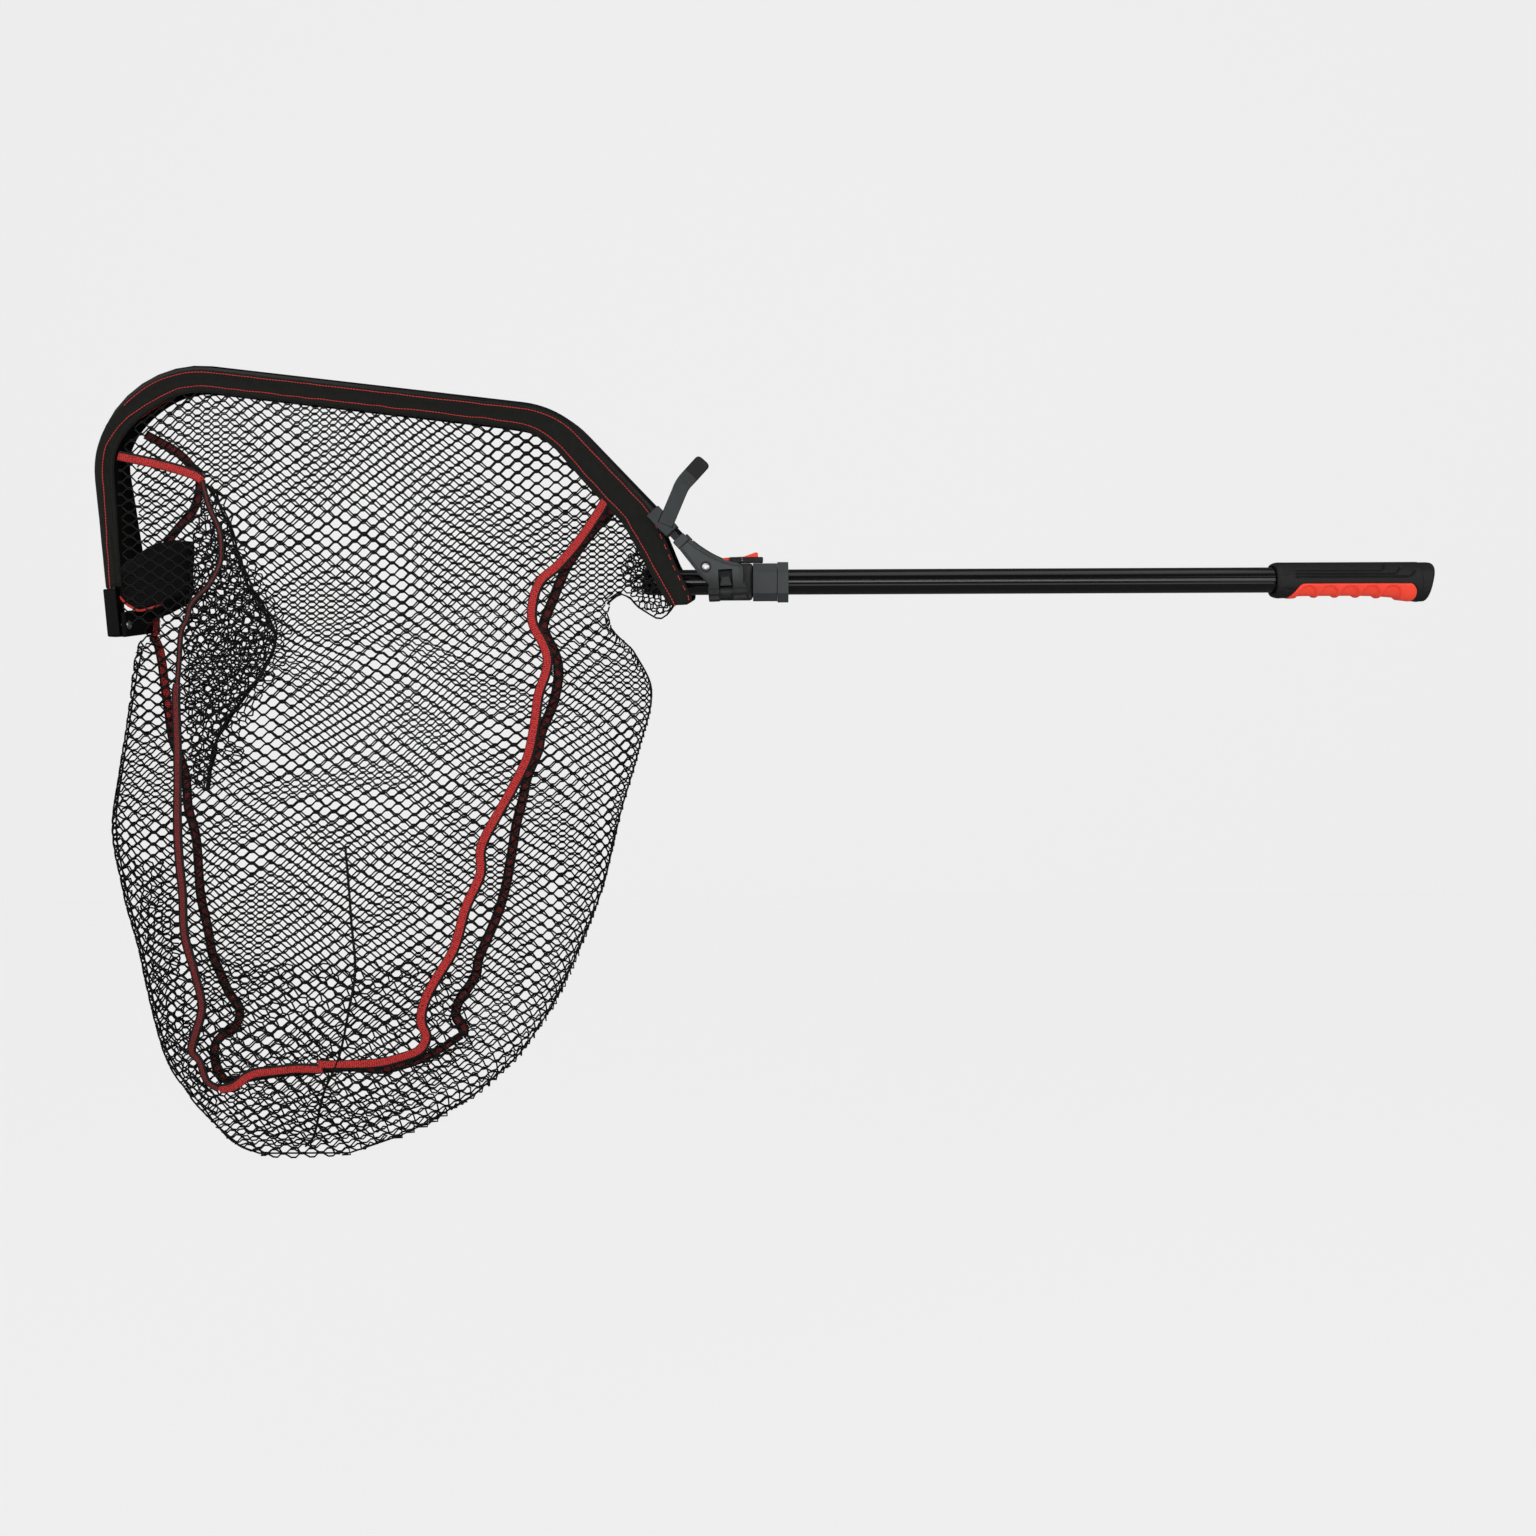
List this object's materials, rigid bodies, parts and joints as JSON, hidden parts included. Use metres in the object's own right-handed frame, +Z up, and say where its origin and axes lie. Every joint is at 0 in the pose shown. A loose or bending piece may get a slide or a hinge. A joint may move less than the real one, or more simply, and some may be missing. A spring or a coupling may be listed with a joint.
{
  "type": "folding landing net",
  "caption": "Folding landing net: a hinged two-part hoop with a knotless mesh bag on a yoke that slides along a grooved pole with a soft grip.",
  "frame": {"origin": "on the pole's axis in the middle of the grip, where a hand holds it", "axes": "+X along the pole towards the butt, +Y from the near half of the folded hoop to the far half, +Z up with the bag hanging down"},
  "size_m": [1.3244, 0.1312, 0.7841],
  "materials": {
    "black_alloy": "glossy black anodised",
    "black_plastic": "satin moulded",
    "grey_plastic": "fine spark-eroded grain",
    "grip_rubber": "matt",
    "red_rubber": "matt",
    "steel": "bright",
    "hem_fabric": "woven",
    "net_mesh": "coated knotless mesh",
    "tape_red": "knitted tape and thread",
    "strap_rubber": "matt"
  },
  "bodies": {
    "handle": {"pole_tube": "black_alloy", "pole_plug": "black_plastic", "grip_core": "black_plastic", "grip_body": "grip_rubber", "grip_inlay": "red_rubber", "butt_cap": "grip_rubber"},
    "yoke": {"saddle": "grey_plastic", "collar": "grey_plastic", "collar_ring": "grey_plastic", "slide_bush": "black_plastic", "button_housing": "black_plastic", "button_pivot": "steel", "button_spring": "steel", "near_hinge_pin": "steel", "far_hinge_pin": "steel", "near_latch_spring": "steel", "far_latch_spring": "steel", "near_tip_pin": "steel", "far_tip_pin": "steel", "tip_link": "black_alloy", "tip_flap": "hem_fabric", "bag_near_panel": "net_mesh", "bag_far_panel": "net_mesh", "bag_front_panel": "net_mesh", "bag_rear_panel": "net_mesh", "bag_floor": "net_mesh", "hem_bridge": "hem_fabric"},
    "near_half": {"near_arm": "grey_plastic", "near_socket_cap": "grey_plastic", "near_arm_rivet": "steel", "near_bar": "black_alloy", "near_hem": "hem_fabric", "near_net": "net_mesh", "near_tip_fitting": "black_alloy", "strap_clip": "strap_rubber", "strap_root": "strap_rubber"},
    "far_half": {"far_arm": "grey_plastic", "far_socket_cap": "grey_plastic", "far_arm_rivet": "steel", "far_bar": "black_alloy", "far_hem": "hem_fabric", "far_net": "net_mesh", "far_tip_fitting": "black_alloy"},
    "button": {"release_button": "red_rubber", "lock_pin": "steel"},
    "near_catch": {"near_latch": "black_plastic"},
    "far_catch": {"far_latch": "black_plastic"},
    "strap": {"strap": "strap_rubber"}
  },
  "joints": [
    {"name": "yoke_slide", "type": "slide", "parent": "handle", "child": "yoke", "axis": [1, 0, 0], "range_m": [0, 0.42]},
    {"name": "near_fold", "type": "hinge", "parent": "yoke", "child": "near_half", "pos_m": [-0.626, -0.03, -0.0088], "axis": [0.9987, 0, 0.0506], "range_deg": [0, 95]},
    {"name": "far_fold", "type": "hinge", "parent": "yoke", "child": "far_half", "pos_m": [-0.626, 0.03, -0.0088], "axis": [-0.9987, 0, -0.0506], "range_deg": [0, 95]},
    {"name": "button_press", "type": "hinge", "parent": "yoke", "child": "button", "pos_m": [-0.613, 0, 0.023], "axis": [0, 1, 0], "range_deg": [0, 8], "stiffness_Nm_per_rad": 0.6, "springref_deg": -3.44, "deforming": ["button_spring"]},
    {"name": "near_catch_press", "type": "slide", "parent": "yoke", "child": "near_catch", "axis": [0, 1, 0], "range_m": [0, 0.003], "stiffness_N_per_m": 800, "springref_m": -0.002, "deforming": ["near_latch_spring"]},
    {"name": "far_catch_press", "type": "slide", "parent": "yoke", "child": "far_catch", "axis": [0, -1, 0], "range_m": [0, 0.003], "stiffness_N_per_m": 800, "springref_m": -0.002, "deforming": ["far_latch_spring"]},
    {"name": "strap_bend", "type": "hinge", "parent": "near_half", "child": "strap", "pos_m": [-0.68223, -0.033, 0.06794], "axis": [-0.6873, 0.0676, 0.7232], "range_deg": [0, 90], "stiffness_Nm_per_rad": 0.03}
  ],
  "couplings": [
    {"joint": "far_fold", "follows": "near_fold", "ratio": 1}
  ]
}
